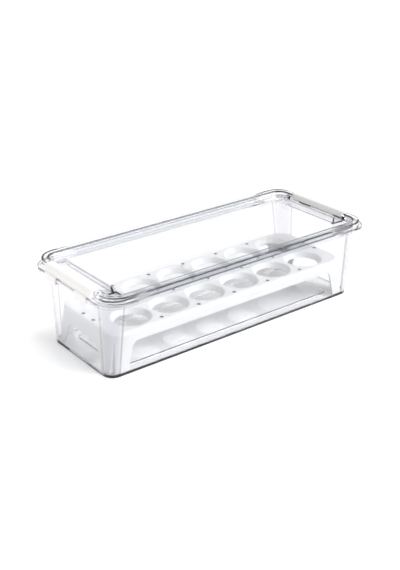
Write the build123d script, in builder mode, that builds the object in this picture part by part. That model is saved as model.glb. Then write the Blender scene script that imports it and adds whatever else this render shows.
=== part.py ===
from build123d import *
import os

# Egg keeper: a clear tapered box, a clear sunk lid held by two end latches, and a
# white tray with open seats for the eggs.
# X runs along the length, Y across it and Z up; the origin is the centre of the base.

os.makedirs("parts", exist_ok=True)

# ------------------------------------------------------------------ driving dimensions, mm
# Box
base_corner = 13.0
base_round = 1.0
mouth_flare_end = 2.6        # how far an end wall leans out from the base to the top
mouth_flare_side = 9.45
mouth_corner = 20.0
box_wall = 2.4
box_floor = 3.0
box_height = 91.8
foot_step = 1.0              # the middle of the floor stands this much higher
foot_margin_end = 24.0       # flat border left around the raised middle
foot_margin_side = 14.2
foot_corner = 8.0
rim_reach = 8.5              # the rim stands out this far from the wall
rim_corner = 23.0
rim_depth = 4.8
rim_plate = 2.4
rim_wall = 2.4
rim_chamfer = 1.0

# Lid
lid_height = 7.55            # from the top of the rim to the top of the ring
end_ledge = 5.8              # rim left uncovered at each end
lid_corner = 22.0
lid_edge_round = 1.2
skirt_wall = 2.4
ring_top_wall = 2.2
ring_side_width = 8.3        # flat top of the ring along the sides
ring_end_width = 7.3
ring_inner_corner = 13.5
ring_inner_round = 0.8
plug_wall = 2.1
plug_clearance = 0.6         # between the plug and the inside of the mouth
panel_sink = 0.5             # top of the panel below the top of the rim
panel_wall = 2.0
bay_length = 23.3            # from the lid's end to the back of the bay's wall
bay_side_gap = 4.9           # from the end of a bay's wall to the round corner of the ring's inside
bay_drop = 1.35              # top of the bay's wall below the top of the ring
bay_draft = 1.5
bay_wall = 2.5
bay_round = 0.6

# Latches
latch_inset = 5.0            # each end of a latch inside the end of the bay's wall
latch_gap = 0.4              # to the lid at each end of a latch
pin_inset = 3.8              # pin axis from the lid's end
pin_drop = 2.85              # pin axis below the top of the ring
pin_radius = 1.5
pin_length = 3.0
pin_clearance = 0.1
pin_end_gap = 0.4
swing_gap = 0.4              # between what turns about the pin and the top of the rim
bar_rise = 4.5               # top of the bar above the pin axis
bar_back = 3.0               # back of the bar behind the pin axis
bar_top_reach = 4.5          # outer edge of the flat top
bar_face_drop = 2.9          # widest point of the outer face below the pin axis
bar_face_inset = 1.1         # foot of the outer face inside the edge of the rim
bar_bulge = 1.0
bar_round = 2.0
bar_wall = 2.0
hollow_reach = 6.6
rib_wall = 1.6
cell_count = 4
face_draft = 0.2
leg_inner = 19.5             # from the middle to the inner side of a leg
leg_inset = 4.5              # outer side of a leg inside the end of the latch
leg_wall = 1.5
leg_shoulder = 0.6           # top of a leg's face above the bottom of the bar
leg_gap = 0.3                # between a leg and the edge of the rim
leg_round = 0.8
lip_gap = 0.9                # below the rim
lip_wall = 1.6
lip_catch = 1.5              # how far a lip reaches under the rim

# Tray
seat_end_margin = 23.0       # from the rim of the last seats to the end of the tray
seat_side_margin = 7.0
tray_end_gap = 2.1           # to the wall of the box at the foot
tray_side_gap = 0.85
tray_corner = 14.0           # at the feet
tray_top_corner = 22.0
tray_lean = 4.0              # how far each end leans in from the feet to the top
tray_height = 44.5
tray_wall = 2.0
tray_round = 4.0
egg_columns = 6
egg_rows = 2
egg_pitch = 50.0
row_spread = 3.0             # how much further apart the two rows are than the eggs of a row
seat_land = 5.0              # flat left between two seats of a row
seat_funnel = 4.0            # how much smaller a seat's lower edge is than its rim
seat_depth = 6.5
seat_wall = 1.6
seat_chamfer = 0.7
vent_radius = 2.2
side_vent_inset = 8.2
end_vent_inset = 6.5         # from the end of the tray's top
end_vent_pitch = 20.2
side_skirt = 12.3            # depth of the skirt over each side opening
side_leg_foot = 20.8         # length of a leg along the side, at its foot
side_leg_flare = 8.1         # how much longer it is at the skirt
side_arch_round = 8.0
end_skirt = 17.0
end_leg_foot = 16.5
end_leg_flare = 11.5
end_arch_round = 6.0
flute_depth = 3.4
flute_half_width = 3.4
flute_top_gap = 4.6          # point of the flute below the top of the tray
flute_setback = 2.3          # point of its backing behind its own point

# ------------------------------------------------------------------ places worked out from them
seat_radius = (egg_pitch - seat_land) / 2
seat_neck = seat_radius - seat_funnel
row_pitch = egg_pitch + row_spread
tray_length = (egg_columns - 1) * egg_pitch + 2 * (seat_radius + seat_end_margin)
tray_width = (egg_rows - 1) * row_pitch + 2 * (seat_radius + seat_side_margin)
base_length = tray_length + 2 * (tray_end_gap + box_wall)
base_width = tray_width + 2 * (tray_side_gap + box_wall)
mouth_length = base_length + 2 * mouth_flare_end
mouth_width = base_width + 2 * mouth_flare_side

rim_length = mouth_length + 2 * rim_reach
rim_width = mouth_width + 2 * rim_reach
rim_bottom = box_height - rim_depth
rim_face = rim_length / 2
foot_length = base_length - 2 * foot_margin_end
foot_width = base_width - 2 * foot_margin_side

lid_length = rim_length - 2 * end_ledge
lid_width = rim_width
lid_end = lid_length / 2
lid_top = box_height + lid_height
ring_inner_length = lid_length - 2 * ring_end_width
ring_inner_width = lid_width - 2 * ring_side_width
bay_width = ring_inner_width - 2 * (ring_inner_corner + bay_side_gap)
plug_width = mouth_width - 2 * (box_wall + plug_clearance)
panel_width = plug_width - 2 * plug_wall
panel_slope = (ring_inner_width - panel_width) / 2
panel_length = ring_inner_length - 2 * panel_slope
panel_corner = ring_inner_corner - panel_slope
plug_length = panel_length + 2 * plug_wall
panel_top = box_height - panel_sink
panel_bottom = panel_top - panel_wall

latch_length = bay_width - 2 * latch_inset
pin_x = lid_end - pin_inset
pin_z = lid_top - pin_drop
swing_bottom = box_height + swing_gap
swing_radius = pin_z - swing_bottom
ear_face = latch_length / 2 + latch_gap
bay_top = lid_top - bay_drop
bay_back = lid_end - bay_length
bay_front = plug_length / 2

leg_width = latch_length / 2 - leg_inset - leg_inner
leg_back = rim_face + leg_gap
leg_face = leg_back + leg_wall
lip_top = rim_bottom - lip_gap
lip_bottom = lip_top - lip_wall
lip_front = rim_face - lip_catch

tray_bottom = box_floor
tray_top = tray_bottom + tray_height
side_leg_half = tray_length / 2 - side_leg_foot
end_leg_half = tray_width / 2 - end_leg_foot


def tub_outline(height, inset=0.0):
    """Length, width and corner radius of the tapered wall at one height."""
    share = height / box_height
    length = base_length + (mouth_length - base_length) * share - 2 * inset
    width = base_width + (mouth_width - base_width) * share - 2 * inset
    corner = base_corner + (mouth_corner - base_corner) * share - inset
    return length, width, corner


def tray_outline(height, inset=0.0):
    """Length, width and corner radius of the tray's outside at one height."""
    share = (height - tray_bottom) / tray_height
    length = tray_length - 2 * (tray_lean * share + inset)
    corner = tray_corner + (tray_top_corner - tray_corner) * share - inset
    return length, tray_width - 2 * inset, corner


def arch_outline(plane, foot_half, top_half, top, radius):
    """Opening between two legs, with rounded top corners."""
    with BuildSketch(plane) as arch:
        with BuildLine():
            Polyline(
                (-foot_half, tray_bottom),
                (-top_half, top),
                (top_half, top),
                (foot_half, tray_bottom),
                close=True,
            )
        make_face()
        fillet(arch.vertices().group_by(Axis.Y)[-1], radius)
    return arch.sketch


def flute_section(corner_x, corner_y, height, depth, reach):
    """Triangle across one corner of the tray, from a point below its surface out to a base beyond it."""
    length, width, corner = tray_outline(height)
    point, base = corner - depth, corner + reach
    half_width = (base - point) * flute_half_width / flute_depth
    origin = (corner_x * (length / 2 - corner), corner_y * (width / 2 - corner), height)
    with BuildSketch(Plane(origin=origin, x_dir=(corner_x, corner_y, 0), z_dir=(0, 0, 1))) as wedge:
        with BuildLine():
            Polyline((point, 0), (base, half_width), (base, -half_width), close=True)
        make_face()
    return wedge.sketch


def flute(corner_x, corner_y, setback, reach):
    """Sections of a wedge that is deepest at the foot, with its point set back from the surface."""
    return [
        flute_section(corner_x, corner_y, tray_bottom, setback + flute_depth, reach),
        flute_section(corner_x, corner_y, tray_top - flute_top_gap, setback, reach),
    ]


# ------------------------------------------------------------------ container
with BuildPart() as container:
    # Rim: a plate with a turned-down edge
    with BuildSketch(Plane.XY.offset(rim_bottom)):
        RectangleRounded(rim_length, rim_width, rim_corner)
    extrude(amount=rim_depth)
    chamfer(container.edges().group_by(Axis.Z)[0], length=rim_chamfer)
    with BuildSketch(Plane.XY.offset(rim_bottom)):
        RectangleRounded(rim_length - 2 * rim_wall, rim_width - 2 * rim_wall, rim_corner - rim_wall)
    extrude(amount=rim_depth - rim_plate, mode=Mode.SUBTRACT)

    # Tapered tub
    with BuildSketch(Plane.XY):
        RectangleRounded(*tub_outline(0))
    with BuildSketch(Plane.XY.offset(box_height)):
        RectangleRounded(*tub_outline(box_height))
    loft()
    fillet(container.edges().group_by(Axis.Z)[0], radius=base_round)
    with BuildSketch(Plane.XY.offset(box_floor)):
        RectangleRounded(*tub_outline(box_floor, box_wall))
    with BuildSketch(Plane.XY.offset(box_height)):
        RectangleRounded(*tub_outline(box_height, box_wall))
    loft(mode=Mode.SUBTRACT)

    # Raised middle of the floor, hollow underneath
    with BuildSketch(Plane.XY.offset(box_floor)):
        RectangleRounded(foot_length, foot_width, foot_corner)
    extrude(amount=foot_step)
    with BuildSketch(Plane.XY):
        RectangleRounded(foot_length, foot_width, foot_corner)
    extrude(amount=foot_step, mode=Mode.SUBTRACT)

container.part.label = "container"
export_step(container.part, "parts/container.step")

# ------------------------------------------------------------------ lid
with BuildPart() as lid:
    # Ring: an upturned channel that stands on the rim
    with BuildSketch(Plane.XY.offset(box_height)):
        RectangleRounded(lid_length, lid_width, lid_corner)
    extrude(amount=lid_height)
    fillet(lid.edges().group_by(Axis.Z)[-1], radius=lid_edge_round)
    with BuildSketch(Plane.XY.offset(box_height)):
        RectangleRounded(lid_length - 2 * skirt_wall, lid_width - 2 * skirt_wall, lid_corner - skirt_wall)
    extrude(amount=lid_height - ring_top_wall, mode=Mode.SUBTRACT)

    # Plug: the sunk panel and its sloping wall, inside the mouth
    with BuildSketch(Plane.XY.offset(box_height)):
        RectangleRounded(plug_length, plug_width, panel_corner + plug_wall)
    with BuildSketch(Plane.XY.offset(lid_top - ring_top_wall / 2)):
        RectangleRounded(
            ring_inner_length + 2 * plug_wall,
            ring_inner_width + 2 * plug_wall,
            ring_inner_corner + plug_wall,
        )
    loft()
    with BuildSketch(Plane.XY.offset(panel_bottom)):
        RectangleRounded(plug_length, plug_width, panel_corner + plug_wall)
    extrude(amount=box_height - panel_bottom)
    with BuildSketch(Plane.XY.offset(panel_top)):
        RectangleRounded(panel_length, panel_width, panel_corner)
    with BuildSketch(Plane.XY.offset(lid_top)):
        RectangleRounded(ring_inner_length, ring_inner_width, ring_inner_corner)
    loft(mode=Mode.SUBTRACT)
    ring_top = lid.faces().sort_by(Axis.Z)[-1]
    fillet(ring_top.inner_wires()[0].edges(), radius=ring_inner_round)

    for end in (1, -1):
        # Bay: a low wall round the latch, whose sides are the ears that hold its pins
        with BuildSketch(Plane.XY.offset(panel_top)):
            with Locations((end * (bay_front + bay_back - bay_draft) / 2, 0)):
                Rectangle(bay_front - bay_back + bay_draft, bay_width + 2 * bay_draft)
        with BuildSketch(Plane.XY.offset(bay_top)):
            with Locations((end * (bay_front + bay_back) / 2, 0)):
                Rectangle(bay_front - bay_back, bay_width)
        loft()
        with BuildSketch(Plane.XZ):
            with BuildLine():
                Polyline(
                    (end * (bay_front - plug_wall), swing_bottom),
                    (end * lid_end, swing_bottom),
                    (end * lid_end, bay_top),
                    (end * (bay_front - plug_wall), bay_top),
                    close=True,
                )
            make_face()
        extrude(amount=bay_width / 2, both=True)

        # Pocket for the latch, open at the end of the lid
        with BuildSketch(Plane.XZ):
            with BuildLine():
                Polyline(
                    (end * (bay_back + bay_wall - bay_draft), panel_top),
                    (end * (bay_back + bay_wall), bay_top),
                    (end * (bay_back + bay_wall), lid_top + lid_height),
                    (end * (lid_end + bay_length), lid_top + lid_height),
                    (end * (lid_end + bay_length), panel_top),
                    close=True,
                )
            make_face()
        extrude(amount=ear_face, both=True, mode=Mode.SUBTRACT)

        bay_edges = lid.edges().filter_by(Axis.Y).filter_by_position(Axis.Z, bay_top - bay_draft / 10, bay_top + bay_draft / 10)
        fillet(bay_edges, radius=bay_round)

        # Shelf that closes the mouth below the latch
        with BuildSketch(Plane.XZ):
            with BuildLine():
                Polyline(
                    (end * bay_back, panel_bottom),
                    (end * (pin_x - swing_radius), panel_bottom),
                    (end * (pin_x - swing_radius), panel_top),
                    (end * bay_back, panel_top),
                    close=True,
                )
            make_face()
        extrude(amount=ear_face, both=True)

        # Below the pin the ring is cut back to a round, so that it can turn above the rim
        with BuildSketch(Plane.XZ):
            with Locations((end * (pin_x + lid_height), pin_z - lid_height)):
                Rectangle(2 * lid_height, 2 * lid_height)
            with Locations((end * pin_x, pin_z)):
                Circle(swing_radius, mode=Mode.SUBTRACT)
        extrude(amount=lid_width, both=True, mode=Mode.SUBTRACT)

        # Holes for the pins
        hole_reach = latch_length / 2 + pin_length + pin_end_gap
        with Locations((end * pin_x, 0, pin_z)):
            Cylinder(pin_radius + pin_clearance, 2 * hole_reach, rotation=(90, 0, 0), mode=Mode.SUBTRACT)

lid.part.label = "lid"
export_step(lid.part, "parts/lid.step")

# ------------------------------------------------------------------ latches
with BuildPart() as far_latch:
    # Bar: flat top, full outer face and a back rounded about the pin
    top_edge = (pin_x + bar_top_reach, pin_z + bar_rise)
    face_edge = (rim_face - bar_face_inset + face_draft, pin_z - bar_face_drop)
    face_foot = (rim_face - bar_face_inset, swing_bottom)
    bulge = (
        (top_edge[0] + face_edge[0]) / 2 + bar_bulge,
        (top_edge[1] + face_edge[1]) / 2 + bar_bulge,
    )
    back_foot = (pin_x - bar_back, pin_z - (swing_radius**2 - bar_back**2) ** 0.5)
    with BuildSketch(Plane.XZ):
        with BuildLine():
            Line((pin_x - bar_back, pin_z + bar_rise), top_edge)
            ThreePointArc(top_edge, bulge, face_edge)
            Line(face_edge, face_foot)
            Line(face_foot, (pin_x, swing_bottom))
            TangentArc((pin_x, swing_bottom), back_foot, tangent=(-1, 0))
            Line(back_foot, (pin_x - bar_back, pin_z + bar_rise))
        make_face()
    extrude(amount=latch_length / 2, both=True)
    fillet(far_latch.faces().sort_by(Axis.Z)[-1].edges().filter_by(Axis.Y), radius=bar_round)

    # Hollow below the bar, in cells parted by ribs
    cell_length = (latch_length - 2 * bar_wall - (cell_count - 1) * rib_wall) / cell_count
    for cell in range(cell_count):
        cell_side = bar_wall - latch_length / 2 + cell * (cell_length + rib_wall)
        with BuildSketch(Plane.XZ.offset(cell_side)):
            with BuildLine():
                Polyline(
                    (pin_x - bar_back + bar_wall, lip_bottom),
                    (pin_x - bar_back + bar_wall, pin_z + bar_rise - bar_wall),
                    (pin_x + bar_top_reach, pin_z + bar_rise - bar_wall),
                    (pin_x + hollow_reach, swing_bottom),
                    (pin_x + hollow_reach, lip_bottom),
                    close=True,
                )
            make_face()
        extrude(amount=cell_length, mode=Mode.SUBTRACT)

    # Legs that hook below the rim
    for leg_side in (leg_inner, -leg_inner - leg_width):
        with BuildSketch(Plane.XZ.offset(leg_side)):
            with BuildLine():
                Polyline(
                    (pin_x + hollow_reach, swing_bottom),
                    (leg_back, swing_bottom),
                    (leg_back, lip_top),
                    (lip_front, lip_top),
                    (lip_front, lip_bottom),
                    (leg_face, lip_bottom),
                    (leg_face, swing_bottom + leg_shoulder),
                    face_edge,
                    (pin_x + hollow_reach, pin_z - bar_face_drop),
                    close=True,
                )
            make_face()
        extrude(amount=leg_width)
    leg_edges = far_latch.edges().filter_by_position(Axis.X, leg_face - leg_gap, leg_face + leg_gap)
    fillet(leg_edges - leg_edges.group_by(Axis.Z)[-1], radius=leg_round)

    # Pins
    with Locations((pin_x, 0, pin_z)):
        for pin_side in (1, -1):
            with Locations((0, pin_side * (latch_length + pin_length) / 2, 0)):
                Cylinder(pin_radius, pin_length, rotation=(90, 0, 0))

far_latch.part.label = "far_latch"
export_step(far_latch.part, "parts/far_latch.step")

with BuildPart() as near_latch:
    add(far_latch.part.rotate(Axis.Z, 180))

near_latch.part.label = "near_latch"
export_step(near_latch.part, "parts/near_latch.step")

# ------------------------------------------------------------------ egg tray
with BuildPart() as egg_tray:
    for height in (tray_bottom, tray_top):
        with BuildSketch(Plane.XY.offset(height)):
            RectangleRounded(*tray_outline(height))
    loft()
    fillet(egg_tray.edges().group_by(Axis.Z)[-1], radius=tray_round)
    for height in (tray_bottom, tray_top - tray_wall):
        with BuildSketch(Plane.XY.offset(height)):
            RectangleRounded(*tray_outline(height, tray_wall))
    loft(mode=Mode.SUBTRACT)

    # A flute down each corner leg, backed by the same wall
    for corner_x in (1, -1):
        for corner_y in (1, -1):
            loft(flute(corner_x, corner_y, flute_setback, -tray_wall / 2))
            loft(flute(corner_x, corner_y, 0.0, tray_wall), mode=Mode.SUBTRACT)

    # Openings between the legs
    side_arch = arch_outline(
        Plane.XZ, side_leg_half, side_leg_half - side_leg_flare, tray_top - side_skirt, side_arch_round
    )
    extrude(side_arch, amount=tray_width, both=True, mode=Mode.SUBTRACT)
    end_arch = arch_outline(
        Plane.YZ, end_leg_half, end_leg_half - end_leg_flare, tray_top - end_skirt, end_arch_round
    )
    extrude(end_arch, amount=tray_length, both=True, mode=Mode.SUBTRACT)

    # Seats: open cones that hang below the top
    with Locations((0, 0, tray_top - seat_depth / 2)):
        with GridLocations(egg_pitch, row_pitch, egg_columns, egg_rows):
            Cone(seat_neck + seat_wall, seat_radius + seat_wall, seat_depth)
        with GridLocations(egg_pitch, row_pitch, egg_columns, egg_rows):
            Cone(seat_neck, seat_radius, seat_depth, mode=Mode.SUBTRACT)
    top_edges = egg_tray.edges().filter_by(GeomType.CIRCLE).group_by(Axis.Z)[-1]
    chamfer(top_edges.filter_by(lambda edge: edge.radius > seat_neck), length=seat_chamfer)

    # Air vents between the seats
    with Locations((0, 0, tray_top)):
        with GridLocations(egg_pitch, tray_width - 2 * side_vent_inset, egg_columns - 1, 2):
            Cylinder(vent_radius, 4 * tray_wall, mode=Mode.SUBTRACT)
        with GridLocations(egg_pitch, row_pitch, egg_columns - 1, egg_rows - 1):
            Cylinder(vent_radius, 4 * tray_wall, mode=Mode.SUBTRACT)
        with GridLocations(tray_length - 2 * (tray_lean + end_vent_inset), end_vent_pitch, 2, 2):
            Cylinder(vent_radius, 4 * tray_wall, mode=Mode.SUBTRACT)

egg_tray.part.label = "egg_tray"
export_step(egg_tray.part, "parts/egg_tray.step")
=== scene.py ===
import math

import bpy
from mathutils import Matrix, Vector

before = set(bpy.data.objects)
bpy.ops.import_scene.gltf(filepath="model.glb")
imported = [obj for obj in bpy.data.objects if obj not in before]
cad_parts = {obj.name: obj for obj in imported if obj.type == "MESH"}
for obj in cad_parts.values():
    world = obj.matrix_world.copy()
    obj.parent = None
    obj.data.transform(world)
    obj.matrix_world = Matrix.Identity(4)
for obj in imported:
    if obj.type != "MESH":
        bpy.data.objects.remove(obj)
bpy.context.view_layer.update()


MM = 1000.0                  # in a metre


# ------------------------------------------------------------------ sizes of the mouldings, mm
class Outline:
    """A rounded rectangle centred on the base."""

    def __init__(self, length, width, corner):
        self.length = length
        self.width = width
        self.corner = corner

    def inset(self, end, side=None, corner=None):
        """The outline this far inside it, with the same gap all round where only one is given."""
        side = end if side is None else side
        corner = self.corner - end if corner is None else corner
        return Outline(self.length - 2 * end, self.width - 2 * side, corner)


def reach(node_name, axis, pick=max):
    """How far a CAD node reaches along an axis."""
    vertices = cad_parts[node_name].data.vertices
    return round(MM * pick(vertex.co[axis] for vertex in vertices), 3)


def outline_of(node_name, corner):
    """The outline round a CAD node."""
    return Outline(2 * reach(node_name, 0), 2 * reach(node_name, 1), corner)


# Container
BOX_WALL = 2.4
BOX_CORNER = 13.0
TRAY_END_GAP = 2.1           # between the foot of the tray and the wall
TRAY_SIDE_GAP = 0.85
RAISED_MARGIN_END = 24.0     # flat border left round the raised middle of the floor
RAISED_MARGIN_SIDE = 14.2
RAISED_CORNER = 8.0
WALL_LEAN_END = 2.4          # how far the walls have leaned out where they meet the rim
WALL_LEAN_SIDE = 8.95
WALL_TOP_CORNER = 19.6
CORNER_START_END = 0.048     # how far the start of a round corner moves in, per mm of height
CORNER_START_SIDE = 0.027    # how far it moves out across, per mm of height
RIM_CORNER = 23.0
RIM_DEPTH = 4.8

# Lid
LID_CORNER = 22.0
RING_END_WIDTH = 7.3
RING_SIDE_WIDTH = 8.3
RING_CORNER = 13.5           # inner corner of the ring
RING_SLOPE = 5.3             # from the inner edge of the ring to the panel
PANEL_WALL = 2.0
BAY_LENGTH = 23.3            # from the lid's end to the back of the bay's wall
BAY_SIDE_GAP = 4.9           # from the end of a bay's wall to the ring's inner corner
BAY_DROP = 1.35              # top of the bay's wall below the top of the ring
BAY_WALL = 2.5
BAY_DRAFT = 1.5
EAR_ALONG = (152.3, 170.0)
EAR_ACROSS = (44.2, 57.0)

# Tray
EGG_PITCH = 50.0
LAST_VENTS = 2 * EGG_PITCH   # along the length, the last vents between the seats
VENT_RADIUS = 2.2
SIDE_VENT_INSET = 8.2
TRAY_LEAN = 4.0              # how far each end leans in from the feet to the top
END_VENT_INSET = 6.5
END_VENT_PITCH = 20.2
EJECTOR_PLACE = (150.0, 34.0)
EJECTOR_RADIUS = 3.0
EJECTOR_TOP = 45.8           # the marks are on faces below this height

# Where the looks of the sides and the ends begin and stop, from and to
SIDES_STOP = (130.0, 152.0)        # along the length
# The painted shade along the container's foot grows darker over this stretch along the length.
FOOT_SHADE_STARTS = (160.0, 172.0)
# The painted shade lines where the round corners start show past these.
CORNER_LINE_ALONG = (170.0, 172.0)
CORNER_LINE_ACROSS = (52.0, 55.0)

# Marks
GATE_RING = 5.5
GATE_PIT = 0.8
GATE_TOP = 2.0               # the gate mark is on faces below this height
WELD_LINE = 62.0             # from the middle of the lid

# Outlines and heights worked out from them
RIM = outline_of("container", RIM_CORNER)
TRAY_LENGTH = 2 * reach("egg_tray", 0)
TRAY_WIDTH = 2 * reach("egg_tray", 1)
BASE = Outline(
    TRAY_LENGTH + 2 * (TRAY_END_GAP + BOX_WALL),
    TRAY_WIDTH + 2 * (TRAY_SIDE_GAP + BOX_WALL),
    BOX_CORNER,
)
FLOOR = BASE.inset(BOX_WALL)
RAISED_FLOOR = BASE.inset(RAISED_MARGIN_END, RAISED_MARGIN_SIDE, RAISED_CORNER)
WALL_TOP = BASE.inset(-WALL_LEAN_END, -WALL_LEAN_SIDE, WALL_TOP_CORNER)
LID = outline_of("lid", LID_CORNER)
RING_INSIDE = LID.inset(RING_END_WIDTH, RING_SIDE_WIDTH, RING_CORNER)
PANEL = RING_INSIDE.inset(RING_SLOPE)

FLOOR_TOP = reach("egg_tray", 2, min)
RIM_TOP = reach("container", 2)
RIM_FOOT = RIM_TOP - RIM_DEPTH
RIM_END = RIM.length / 2
PANEL_TOP = reach("lid", 2, min) + PANEL_WALL
BAY_TOP = reach("lid", 2) - BAY_DROP
BAY_BACK = LID.length / 2 - BAY_LENGTH
BAY_REACH = RING_INSIDE.width / 2 - RING_CORNER - BAY_SIDE_GAP
END_VENT_ALONG = TRAY_LENGTH / 2 - TRAY_LEAN - END_VENT_INSET
END_VENT_ACROSS = END_VENT_PITCH / 2
SIDE_VENT_ACROSS = TRAY_WIDTH / 2 - SIDE_VENT_INSET

# ------------------------------------------------------------------ colours
CLEAR = (0.985, 0.985, 0.99, 1.0)
# Painted grey shade for faces of the clear plastic where bent light greys it.
PAINTED_GREY_SHADE = (0.74, 0.725, 0.80, 1.0)
# Painted shade for the dark lines along the clear plastic's edges.
PAINTED_EDGE_SHADE = (0.025, 0.022, 0.034, 1.0)
STRAIGHT_THROUGH = (0.93, 0.935, 0.945, 1.0)
DEPTH_TINT = (0.70, 0.71, 0.76, 1.0)
LATCH_WHITE = (0.925, 0.91, 0.89, 1.0)
LATCH_PALE = (0.94, 0.925, 0.91, 1.0)
TRAY_WHITE = (0.80, 0.805, 0.815, 1.0)
TRAY_PALE = (0.825, 0.83, 0.84, 1.0)
# Painted shade inside the tray's vents.
PAINTED_VENT_SHADE = (0.16, 0.16, 0.17, 1.0)
WHITE = (1.0, 1.0, 1.0, 1.0)
BLACK = (0.0, 0.0, 0.0, 1.0)
FLOOR_WHITE = (0.90, 0.90, 0.90, 1.0)
FLOOR_GLOW = (0.16, 0.16, 0.16, 1.0)

# ------------------------------------------------------------------ camera and light
CAMERA_TARGET = Vector((-0.0222, -0.0150, 0.050))
CAMERA_DISTANCE = 1.091
CAMERA_AZIMUTH = math.radians(-37.30)
CAMERA_ELEVATION = math.radians(24.819)
CAMERA_ROLL = math.radians(-0.54)
CAMERA_LENS = 60.57
ROOM_LIGHT = 0.80
DIM_LIGHT = 0.72
DIM_SIDE = (-0.55, -0.83)    # the dim part of the room lies this way, along and across
BACKGROUND_WHITE = 1.0
FLOOR_REACH = 4.0            # from the middle to each side, in metres
FLOOR_LEVEL = -0.0004        # just below the base, in metres


class Signal:
    """The output of a shader node. Sums on it add Math nodes."""

    def __init__(self, shader, socket):
        self.shader = shader
        self.socket = socket

    def maths(self, operation, *terms):
        return self.shader.add("ShaderNodeMath", {"operation": operation}, dict(enumerate(terms)))

    def __add__(self, other):
        return self.maths("ADD", self, other)

    def __radd__(self, other):
        return self.maths("ADD", other, self)

    def __sub__(self, other):
        return self.maths("SUBTRACT", self, other)

    def __rsub__(self, other):
        return self.maths("SUBTRACT", other, self)

    def __mul__(self, other):
        return self.maths("MULTIPLY", self, other)

    def __rmul__(self, other):
        return self.maths("MULTIPLY", other, self)

    def __truediv__(self, other):
        return self.maths("DIVIDE", self, other)

    def __pow__(self, other):
        return self.maths("POWER", self, other)

    def __abs__(self):
        return self.maths("ABSOLUTE", self)

    def above(self, low, high):
        """0 below low, 1 above high and smooth between them."""
        return self.shader.add(
            "ShaderNodeMapRange",
            {"interpolation_type": "SMOOTHSTEP"},
            {"Value": self, "From Min": low, "From Max": high},
        )

    def below(self, low, high):
        """1 below low, 0 above high and smooth between them."""
        return 1.0 - self.above(low, high)

    def between(self, low, high, rise, fall):
        """1 between low and high, reached smoothly over rise and left over fall."""
        return self.above(low, low + rise) * self.below(high - fall, high)

    def either(self, other):
        return self.maths("MAXIMUM", self, other)

    def at_most(self, other):
        return self.maths("MINIMUM", self, other)

    def rounded(self):
        return self.maths("ROUND", self)


class Shader:
    """A node tree of a material or the world, built up by adding nodes."""

    def __init__(self, tree):
        self.tree = tree
        tree.nodes.clear()

    def add(self, kind, settings=None, sockets=None, output=0):
        """A node with its settings, then its sockets' values or links; gives one of its outputs."""
        node = self.tree.nodes.new(kind)
        for name, value in (settings or {}).items():
            setattr(node, name, value)
        for name, value in (sockets or {}).items():
            if isinstance(value, Signal):
                self.tree.links.new(value.socket, node.inputs[name])
            else:
                node.inputs[name].default_value = value
        return Signal(self, node.outputs[output]) if len(node.outputs) else node

    def axes(self, coordinates):
        """The x, y and z of this kind of coordinates."""
        place = self.add("ShaderNodeTexCoord", output=coordinates)
        return [self.add("ShaderNodeSeparateXYZ", None, {0: place}, output=n) for n in range(3)]

    def noise(self, scale, detail):
        place = self.add("ShaderNodeTexCoord", output="Object")
        sockets = {"Vector": place, "Scale": scale, "Detail": detail}
        return self.add("ShaderNodeTexNoise", None, sockets)

    def blend(self, share, first, second):
        """A colour that goes from first to second as share goes from 0 to 1."""
        sockets = {0: share, 6: first, 7: second}
        return self.add("ShaderNodeMix", {"data_type": "RGBA"}, sockets, output=2)

    def bump(self, height, strength, distance):
        sockets = {"Height": height, "Strength": strength, "Distance": distance}
        return self.add("ShaderNodeBump", None, sockets)

    def body(self, **sockets):
        """The plastic itself, with underscores for the spaces in its sockets' names."""
        named = {name.replace("_", " "): value for name, value in sockets.items()}
        return self.add("ShaderNodeBsdfPrincipled", None, named)

    def result(self, **sockets):
        """What the material shows."""
        self.add("ShaderNodeOutputMaterial", None, sockets)


def plastic(name):
    """A new material, and the shader to build it with."""
    material = bpy.data.materials.new(name)
    material.use_nodes = True
    return material, Shader(material.node_tree)


def dress(node_name, material):
    """Gives a CAD node this material on all its faces."""
    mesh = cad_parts[node_name].data
    for index in range(len(mesh.materials)):
        mesh.materials[index] = material
    if not mesh.materials:
        mesh.materials.append(material)


# ------------------------------------------------------------------ places on the mouldings
LINE_CORE = 0.35             # share of a line's half width that is fully dark


def distance(along, across):
    """Distance from a point that is this far away along the length and across it."""
    return (along * along + across * across) ** 0.5


def near(away, half_width):
    """1 on a line, and 0 from half_width away from it."""
    return abs(away).below(half_width * LINE_CORE, half_width)


class Spot:
    """Where a point of a CAD node is, in millimetres from the middle of the base. The four
    quarters of the container, the lid and the tray are alike, so x and y have no sign here."""

    def __init__(self, shader):
        x, y, z = (axis * MM for axis in shader.axes("Object"))
        self.x, self.y, self.z = abs(x), abs(y), z

    def outside(self, outline):
        """Distance out from an outline."""
        over_x = (self.x - (outline.length / 2 - outline.corner)).either(0.0)
        over_y = (self.y - (outline.width / 2 - outline.corner)).either(0.0)
        return distance(over_x, over_y) - outline.corner

    def edge(self, outline, height, across, upright, dark):
        """A dark line of painted shade along an outline at a height, gone this far across and
        upright from it.
        """
        return dark * (near(self.outside(outline), across) * near(self.z - height, upright))

    def past_straight(self):
        """How far a point is past the straight part of a side, and of an end, of the container."""
        side_stop = (BASE.length / 2 - BASE.corner) - CORNER_START_END * self.z
        end_stop = (BASE.width / 2 - BASE.corner) + CORNER_START_SIDE * self.z
        return self.x - side_stop, self.y - end_stop

    def below_rim(self):
        return self.z.below(RIM_FOOT - 3.0, RIM_FOOT - 1.0)

    def along_sides(self):
        """1 along the sides, and 0 towards the ends."""
        return self.x.below(*SIDES_STOP)


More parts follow.
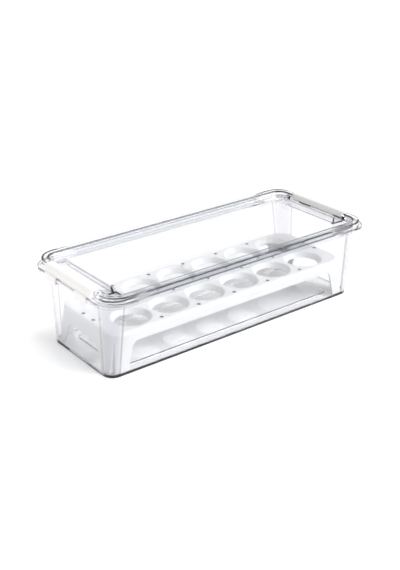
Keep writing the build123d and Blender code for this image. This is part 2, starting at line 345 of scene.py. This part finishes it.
# ------------------------------------------------------------------ clear plastic
def clear_plastic(name, edges, grey_shade, marks, thin):
    """Clear plastic. Its edges carry dark lines of painted shade, standing in for light bent away
    there. A painted grey shade goes on the faces that one mask picks, light runs straight through
    it where thin says, and marks stand up from it."""
    material, shader = plastic(name)
    spot = Spot(shader)
    ripple = shader.noise(scale=14.0, detail=2.0)
    scuff = shader.noise(scale=220.0, detail=3.0)
    glancing = shader.add("ShaderNodeLayerWeight", None, {"Blend": 0.5}, output="Facing")
    lines = edges(spot)
    # Painted shade: the dark lines along the edges, and walls seen at a glancing angle made darker.
    dark = lines.either(0.5 * glancing.above(0.75, 0.95))
    # Painted grey shade on the faces that the grey mask picks.
    painted_grey = shader.blend(grey_shade(spot), CLEAR, PAINTED_GREY_SHADE)
    body = shader.body(
        Base_Color=shader.blend(dark, painted_grey, PAINTED_EDGE_SHADE),
        Roughness=0.01 + 0.02 * scuff.above(0.55, 0.8),
        IOR=1.5,
        Transmission_Weight=1.0,
        Normal=shader.bump(ripple + marks(spot), strength=0.1, distance=0.0003),
    )
    shadow = shader.add("ShaderNodeLightPath", output="Is Shadow Ray")
    through = shader.add("ShaderNodeBsdfTransparent", None, {"Color": STRAIGHT_THROUGH})
    straight = thin(spot) * (1.0 - lines)
    surface = shader.add(
        "ShaderNodeMixShader", None, {0: shadow.either(straight), 1: body, 2: through}
    )
    depth = shader.add(
        "ShaderNodeVolumeAbsorption", None, {"Color": DEPTH_TINT, "Density": 10.0}
    )
    shader.result(Surface=surface, Volume=depth)
    return material


def container_edge_shade(spot):
    """Painted dark lines of shade along the foot, the floor, the rim, the wall below it and where
    the round corners start.
    """
    # The painted shade along the foot grows towards the ends, and the rim's painted shade doubles
    # at its end faces.
    foot_shade = 0.1 + 0.65 * spot.x.above(*FOOT_SHADE_STARTS)
    rim_shade = 1.0 + spot.x.above(RIM_END - 2.1, RIM_END - 0.6)
    past_side, past_end = spot.past_straight()
    side_ends = near(past_side, 0.9) * spot.y.above(*CORNER_LINE_ACROSS)
    end_ends = near(past_end, 0.9) * spot.x.above(*CORNER_LINE_ALONG)
    lines = [
        spot.edge(BASE.inset(0.3), height=0.2, across=1.6, upright=1.5, dark=foot_shade),
        spot.edge(FLOOR, height=FLOOR_TOP + 0.3, across=1.2, upright=1.0, dark=0.5),
        spot.edge(RAISED_FLOOR, height=FLOOR_TOP + 0.5, across=0.9, upright=1.2, dark=0.3),
        spot.edge(RIM, height=RIM_TOP, across=1.2, upright=0.9, dark=0.4 * rim_shade),
        spot.edge(RIM, height=RIM_FOOT, across=1.2, upright=0.9, dark=0.3 * rim_shade),
        spot.edge(WALL_TOP, height=RIM_FOOT - 0.4, across=1.4, upright=0.8, dark=0.35),
        0.5 * (side_ends + end_ends) * spot.below_rim(),
    ]
    return sum(lines).at_most(1.0)


def container_grey_shade(spot):
    """Painted grey shade on the turned-down rim, most of all its end faces, and on the round
    corners of the wall.
    """
    rim = spot.z.above(RIM_FOOT - 0.4, RIM_FOOT + 0.2) * spot.outside(WALL_TOP).above(1.0, 3.0)
    end_face = spot.x.above(RIM_END - 2.1, RIM_END - 1.1)
    end_face = end_face * spot.z.below(RIM_TOP - 0.8, RIM_TOP - 0.2)
    past_side, past_end = spot.past_straight()
    corner = past_side.above(0.0, 5.0) * past_end.above(0.0, 5.0) * spot.below_rim()
    return (0.35 * rim * (1.0 + 1.5 * end_face) + 0.4 * corner).at_most(1.0)


def container_thin(spot):
    """The turned-down rim along the sides."""
    return 0.96 * spot.z.above(RIM_FOOT - 0.6, RIM_FOOT - 0.2) * spot.along_sides()


def container_marks(spot):
    """The gate mark under the middle of the floor, a pit inside a ring."""
    from_middle = distance(spot.x, spot.y)
    pit = from_middle.below(GATE_PIT, GATE_PIT + 0.6)
    under = spot.z.below(GATE_TOP, GATE_TOP + 0.5)
    return (near(from_middle - GATE_RING, 0.5) - 2.0 * pit) * under


def lid_edge_shade(spot):
    """Painted dark lines of shade along the inner and outer edge of the ring, the foot of the lid,
    the panel and the bays.
    """
    across_bay = spot.y.below(BAY_REACH - 0.5, BAY_REACH + 0.5)
    inner = near(spot.outside(RING_INSIDE.inset(0.3)), 1.6)
    outer = near(spot.outside(LID.inset(0.4)), 0.9)
    bay_back = near(spot.x - (BAY_BACK + 0.2), 0.9)
    bay_front = near(spot.x - (BAY_BACK + BAY_WALL - 0.1), 0.7)
    bay_top = spot.z.above(BAY_TOP - 0.8, BAY_TOP - 0.3)
    bay_foot = near(spot.x - (BAY_BACK - BAY_DRAFT), 0.8) * near(spot.z - PANEL_TOP, 1.0)
    lines = [
        inner * spot.z.above(BAY_TOP - 0.8, BAY_TOP - 0.2),
        0.45 * outer * spot.z.above(BAY_TOP, BAY_TOP + 0.6),
        spot.edge(LID, height=RIM_TOP, across=1.0, upright=0.9, dark=0.1),
        spot.edge(PANEL, height=PANEL_TOP, across=1.6, upright=1.2, dark=0.2),
        0.75 * (bay_back + 0.45 * bay_front) * bay_top * across_bay,
        0.5 * bay_foot * across_bay,
    ]
    return sum(lines).at_most(1.0)


def lid_grey_shade(spot):
    """Painted grey shade on the slope round the panel, and on the walls of the bays."""
    above_panel = spot.z.above(PANEL_TOP + 0.1, PANEL_TOP + 0.7)
    slope = spot.outside(PANEL).between(-0.2, RING_SLOPE + 0.1, rise=0.6, fall=0.5)
    bay = near(spot.x - (BAY_BACK + 1.0), 3.5) * spot.y.below(BAY_REACH + 1.5, BAY_REACH + 3.5)
    return ((0.3 * slope + 0.4 * bay) * above_panel).at_most(1.0)


def lid_thin(spot):
    """The solid ears that hold the pins, and the ring with its slope along the sides."""
    ear = spot.x.between(*EAR_ALONG, rise=0.5, fall=0.5)
    ear = ear * spot.y.between(*EAR_ACROSS, rise=0.4, fall=0.5)
    ring = spot.outside(PANEL).above(-0.6, -0.2) * spot.along_sides()
    return (0.93 * ear).either(0.96 * ring)


def lid_marks(spot):
    """Faint lines across the panel where the melt met."""
    return 0.5 * near(spot.x - WELD_LINE, 1.2) * spot.y.below(40.0, 60.0)


# ------------------------------------------------------------------ latches
def latch_plastic():
    """Satin white plastic with a fine grain."""
    material, shader = plastic("latch_plastic")
    grain = shader.noise(scale=900.0, detail=2.0)
    cloud = shader.noise(scale=35.0, detail=2.0)
    body = shader.body(
        Base_Color=shader.blend(cloud.above(0.3, 0.7), LATCH_WHITE, LATCH_PALE),
        Roughness=0.36 + 0.10 * grain,
        IOR=1.5,
        Normal=shader.bump(grain, strength=0.15, distance=0.0001),
    )
    shader.result(Surface=body)
    return material


# ------------------------------------------------------------------ tray
def tray_vents(spot):
    """Where shade is painted: the vents between the seats and along the sides, and a pair at each
    end.
    """
    from_column = abs(spot.x - EGG_PITCH * (spot.x / EGG_PITCH).rounded())
    middle_vent = distance(from_column, spot.y)
    side_vent = distance(from_column, spot.y - SIDE_VENT_ACROSS)
    end_vent = distance(spot.x - END_VENT_ALONG, spot.y - END_VENT_ACROSS)
    columns = spot.x.below(LAST_VENTS + 3.0, LAST_VENTS + 4.0)
    middle, side, end = (
        away.below(VENT_RADIUS, VENT_RADIUS + 0.4) for away in (middle_vent, side_vent, end_vent)
    )
    return (side.either(middle) * columns).either(end)


def tray_plastic():
    """Smooth white plastic with painted shade inside the vents, and round ejector marks under the
    top.
    """
    material, shader = plastic("tray_plastic")
    spot = Spot(shader)
    cloud = shader.noise(scale=22.0, detail=2.0)
    grain = shader.noise(scale=600.0, detail=2.0)
    white = shader.blend(cloud.above(0.3, 0.7), TRAY_WHITE, TRAY_PALE)
    from_ejector = distance(spot.x - EJECTOR_PLACE[0], spot.y - EJECTOR_PLACE[1])
    ejector_mark = near(from_ejector - EJECTOR_RADIUS, 0.4)
    ejector_mark = ejector_mark * spot.z.below(EJECTOR_TOP, EJECTOR_TOP + 0.4)
    body = shader.body(
        # Painted shade inside the vents.
        Base_Color=shader.blend(0.85 * tray_vents(spot), white, PAINTED_VENT_SHADE),
        Roughness=0.30 + 0.08 * grain,
        IOR=1.49,
        Normal=shader.bump(grain + 4.0 * ejector_mark, strength=0.08, distance=0.0001),
    )
    shader.result(Surface=body)
    return material


clear_container = clear_plastic(
    "clear_container",
    edges=container_edge_shade,
    grey_shade=container_grey_shade,
    marks=container_marks,
    thin=container_thin,
)
clear_lid = clear_plastic(
    "clear_lid", edges=lid_edge_shade, grey_shade=lid_grey_shade, marks=lid_marks, thin=lid_thin
)
dress("container", clear_container)
dress("lid", clear_lid)
latch = latch_plastic()
dress("near_latch", latch)
dress("far_latch", latch)
dress("egg_tray", tray_plastic())


# ------------------------------------------------------------------ studio
def seen(shader):
    """1 for rays that look at the background, straight or by way of gloss or clear plastic."""
    camera, glossy, through = (
        shader.add("ShaderNodeLightPath", output=f"Is {kind} Ray")
        for kind in ("Camera", "Glossy", "Transmission")
    )
    return camera.either(glossy).either(through)


def studio_world():
    """White where the camera looks. The rest sees a bright room, dimmer on the camera's side."""
    world = bpy.data.worlds.new("studio")
    world.use_nodes = True
    bpy.context.scene.world = world
    shader = Shader(world.node_tree)
    x, y, z = shader.axes("Generated")
    dim = (DIM_SIDE[0] * x + DIM_SIDE[1] * y).above(0.15, 0.55)
    dim = dim * z.between(0.02, 0.80, rise=0.10, fall=0.10)
    room = ROOM_LIGHT - (ROOM_LIGHT - DIM_LIGHT) * dim
    camera = shader.add("ShaderNodeLightPath", output="Is Camera Ray")
    strength = room + (BACKGROUND_WHITE - room) * camera
    light = shader.add("ShaderNodeBackground", None, {"Color": WHITE, "Strength": strength})
    shader.add("ShaderNodeOutputWorld", None, {"Surface": light})


def floor():
    """A pale floor that shows as white and keeps the object's shadow."""
    mesh = bpy.data.meshes.new("floor")
    sides = ((-1, -1), (1, -1), (1, 1), (-1, 1))
    corners = [(x * FLOOR_REACH, y * FLOOR_REACH, FLOOR_LEVEL) for x, y in sides]
    mesh.from_pydata(corners, [], [(0, 1, 2, 3)])
    ground = bpy.data.objects.new("floor", mesh)
    bpy.context.scene.collection.objects.link(ground)
    material, shader = plastic("floor_white")
    body = shader.body(
        Base_Color=FLOOR_WHITE,
        Roughness=0.9,
        Specular_IOR_Level=0.1,
        Emission_Color=shader.blend(seen(shader), BLACK, FLOOR_GLOW),
        Emission_Strength=1.0,
    )
    shader.result(Surface=body)
    mesh.materials.append(material)


def distant_lamp(name, direction, spread, strength):
    """A soft lamp far away in this direction, spread over this many degrees of the sky."""
    light = bpy.data.lights.new(name, "SUN")
    light.energy = strength
    light.angle = math.radians(spread)
    lamp = bpy.data.objects.new(name, light)
    lamp.rotation_euler = Vector(direction).to_track_quat("Z", "Y").to_euler()
    bpy.context.scene.collection.objects.link(lamp)


def camera():
    view = bpy.data.cameras.new("camera")
    view.lens = CAMERA_LENS
    view.sensor_width = 36.0
    holder = bpy.data.objects.new("camera", view)
    bpy.context.scene.collection.objects.link(holder)
    level = math.cos(CAMERA_ELEVATION)
    back = Vector((
        math.sin(CAMERA_AZIMUTH) * level,
        -math.cos(CAMERA_AZIMUTH) * level,
        math.sin(CAMERA_ELEVATION),
    ))
    right = (-back).cross(Vector((0, 0, 1))).normalized()
    up = right.cross(-back)
    turn_cos, turn_sin = math.cos(CAMERA_ROLL), math.sin(CAMERA_ROLL)
    right, up = turn_cos * right + turn_sin * up, turn_cos * up - turn_sin * right
    axes = Matrix((right, up, back)).transposed().to_4x4()
    holder.matrix_world = Matrix.Translation(CAMERA_TARGET + CAMERA_DISTANCE * back) @ axes
    bpy.context.scene.camera = holder


studio_world()
floor()
distant_lamp("key", direction=(0.65, -0.85, 0.75), spread=35.0, strength=1.9)
distant_lamp("fill", direction=(-0.9, -0.1, 0.3), spread=60.0, strength=0.45)
camera()
scene = bpy.context.scene
scene.view_settings.view_transform = "Standard"
scene.cycles.max_bounces = 24
scene.cycles.transmission_bounces = 24
scene.cycles.transparent_max_bounces = 32
